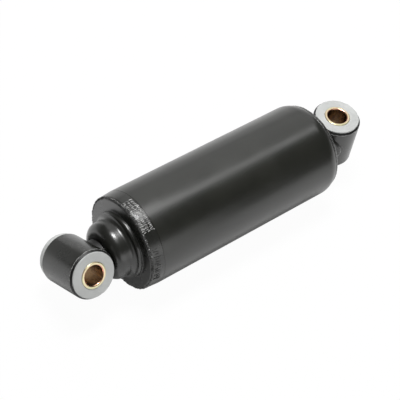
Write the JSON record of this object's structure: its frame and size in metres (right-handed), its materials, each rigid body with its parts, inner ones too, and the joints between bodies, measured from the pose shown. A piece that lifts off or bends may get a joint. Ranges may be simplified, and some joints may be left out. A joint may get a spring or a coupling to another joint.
{
  "type": "seat shock absorber",
  "caption": "Closed twin-tube hydraulic damper for a suspension seat: black tube with a stepped domed cap and a bushed mounting eye at each end.",
  "frame": {"origin": "centre of the bolt bore of the body eye, halfway along the bore", "axes": "+X along the damper from the body eye to the rod eye, +Z along the bolt bore of the body eye"},
  "size_m": [0.1904, 0.05, 0.05],
  "materials": {
    "black_paint": "satin black paint on steel",
    "nylon": "off-white nylon",
    "yellow_zinc": "yellow-passivated zinc plate on steel",
    "bare_steel": "oiled drawn steel",
    "spring_steel": "blued spring steel",
    "hard_chrome": "ground hard chrome",
    "sintered_iron": "oil-soaked sintered iron",
    "bearing_bronze": "bronze-backed bearing lining",
    "rubber": "black nitrile rubber",
    "ptfe": "bronze-filled low-friction plastic"
  },
  "bodies": {
    "damper_body": {"outer_tube": "black_paint", "base_cap": "black_paint", "base_cap_weld": "black_paint", "base_stem": "black_paint", "base_stem_weld": "black_paint", "body_eye_ring": "black_paint", "body_eye_bush_upper": "nylon", "body_eye_bush_lower": "nylon", "stepped_end_cap": "black_paint", "pressure_tube": "bare_steel", "rod_guide": "sintered_iron", "guide_bush": "bearing_bronze", "rod_seal": "rubber", "seal_washer": "bare_steel", "packing_spring": "spring_steel", "rod_wiper": "rubber", "guide_o_ring": "rubber", "base_valve_body": "sintered_iron", "base_compression_disc_1": "spring_steel", "base_compression_disc_2": "spring_steel", "base_valve_rivet": "bare_steel", "base_valve_spacer": "bare_steel", "base_intake_plate": "spring_steel", "base_intake_spring": "spring_steel"},
    "band_on_piston": {"piston_band": "ptfe"},
    "rod_assembly": {"piston_rod": "hard_chrome", "rod_eye_ring": "black_paint", "rod_eye_welds": "black_paint", "rod_eye_bush_near": "nylon", "rod_eye_bush_far": "nylon", "piston": "sintered_iron", "rebound_disc_1": "spring_steel", "rebound_disc_2": "spring_steel", "rebound_disc_3": "spring_steel", "compression_check_disc": "spring_steel", "disc_support_washer": "bare_steel", "piston_nut": "bare_steel", "rebound_bumper": "rubber"},
    "body_eye_sleeve": {"body_eye_sleeve": "yellow_zinc"},
    "rod_eye_sleeve": {"rod_eye_sleeve": "yellow_zinc"}
  },
  "joints": [
    {"name": "rod_slide", "type": "slide", "parent": "damper_body", "child": "band_on_piston", "axis": [1, 0, 0], "range_m": [0, 0.06]},
    {"name": "rod_twist", "type": "hinge", "parent": "band_on_piston", "child": "rod_assembly", "pos_m": [0.1, 0, 0], "axis": [1, 0, 0], "continuous": true},
    {"name": "body_eye_turn", "type": "hinge", "parent": "damper_body", "child": "body_eye_sleeve", "pos_m": [0, 0, 0], "axis": [0, 0, 1], "continuous": true},
    {"name": "rod_eye_turn", "type": "hinge", "parent": "rod_assembly", "child": "rod_eye_sleeve", "pos_m": [0.1654, 0, 0], "axis": [0, 0.887, 0.4617], "continuous": true}
  ]
}
